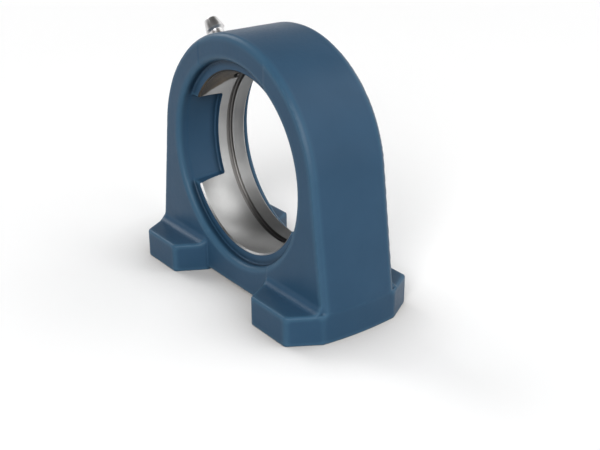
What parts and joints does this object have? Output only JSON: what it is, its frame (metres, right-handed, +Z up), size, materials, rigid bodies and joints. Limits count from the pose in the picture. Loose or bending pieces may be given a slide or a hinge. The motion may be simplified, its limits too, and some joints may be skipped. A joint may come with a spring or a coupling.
{
  "type": "pillow block bearing housing",
  "caption": "Cast iron pillow block housing with a short tapped base, a bare spherical seat for a ball bearing insert, filling slots and a grease nipple with a check valve.",
  "frame": {"origin": "on the plane of the base, under the middle of the bore", "axes": "+X along the base, +Y along the shaft towards the back face, +Z up"},
  "size_m": [0.095, 0.048, 0.0844],
  "materials": {
    "painted_casting": "smooth slate blue enamel over cast iron, with a bare machined seat",
    "plated_steel": "bright zinc plate",
    "ball_steel": "polished",
    "spring_wire": "drawn wire"
  },
  "bodies": {
    "housing": {"housing": "painted_casting", "grease_nipple": "plated_steel", "check_spring": "spring_wire"},
    "check_ball": {"check_ball": "ball_steel"}
  },
  "joints": [
    {"name": "check_ball_slide", "type": "slide", "parent": "housing", "child": "check_ball", "axis": [0.7071, 0, -0.7071], "range_m": [0, 0.001], "stiffness_N_per_m": 400, "springref_m": -0.001, "deforming": ["check_spring"]}
  ]
}
